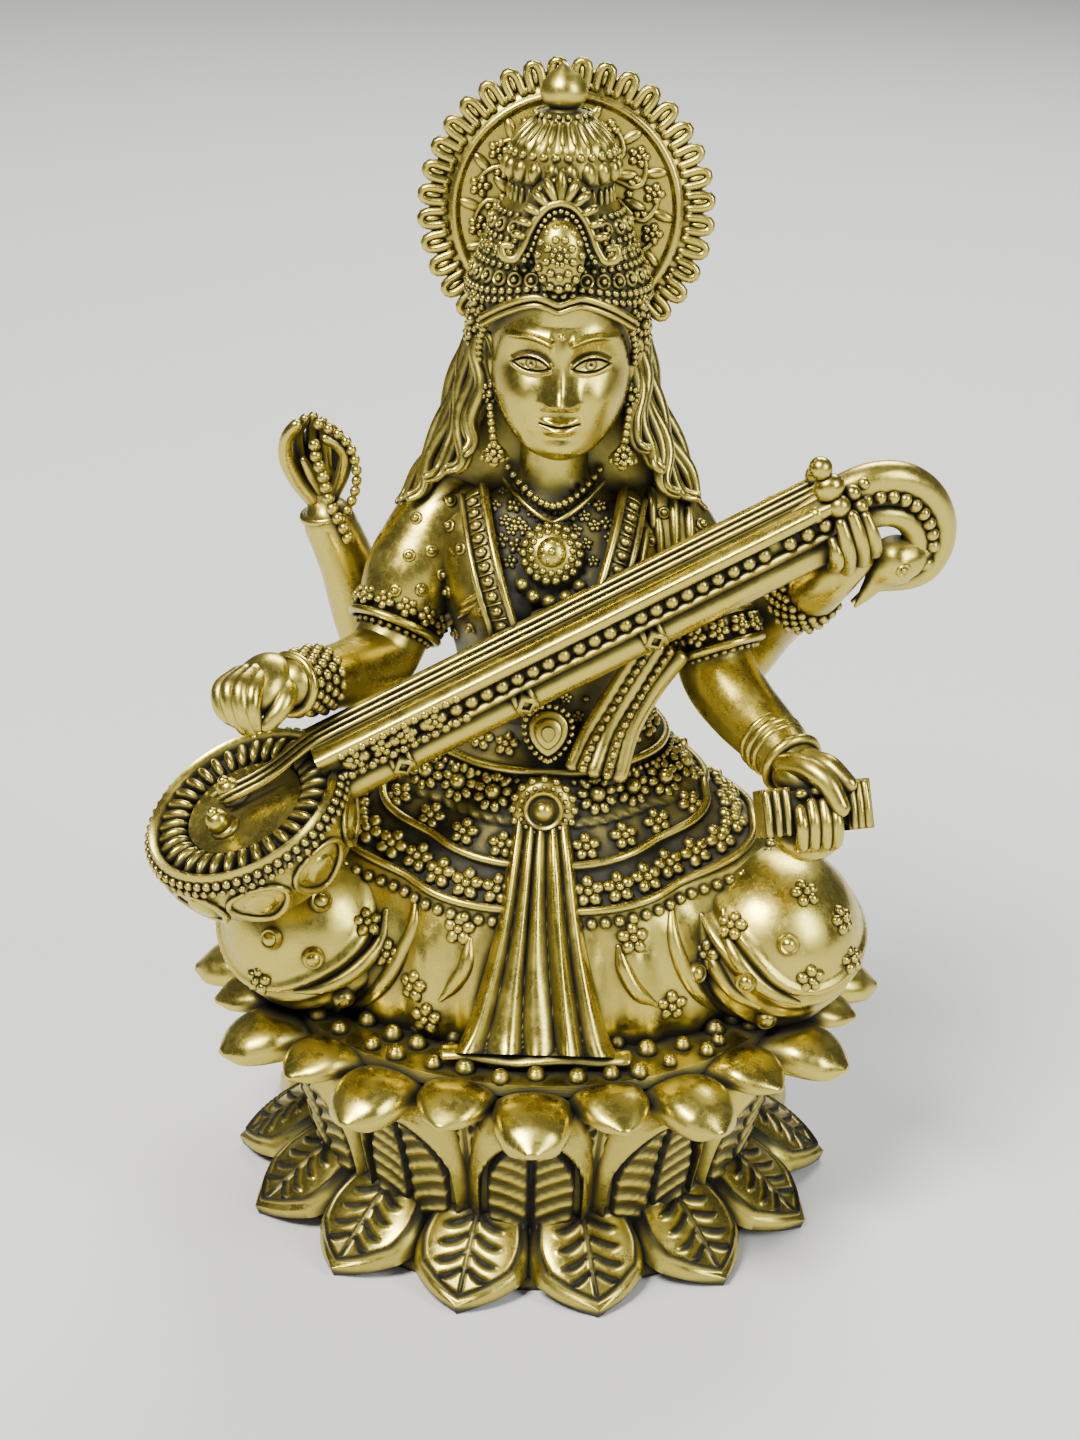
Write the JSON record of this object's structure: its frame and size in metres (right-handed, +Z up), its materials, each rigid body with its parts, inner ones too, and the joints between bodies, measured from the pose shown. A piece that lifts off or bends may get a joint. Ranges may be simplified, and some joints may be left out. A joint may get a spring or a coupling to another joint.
{
  "type": "saraswati figure",
  "caption": "Small cast brass figure of a seated four-armed goddess playing a long vina, on a double lotus seat, with a tall crown and a round halo behind the head.",
  "frame": {"origin": "centre of the seat's flat underside, on the ground", "axes": "+Z is up, the figure looks along -Y, and +X is to the right of a viewer in front of it"},
  "size_m": [0.0584, 0.054, 0.0875],
  "materials": {
    "brass": "polished high points with a dark patina in the recesses"
  },
  "bodies": {
    "root": {"saraswati_figure": "brass"}
  },
  "joints": []
}
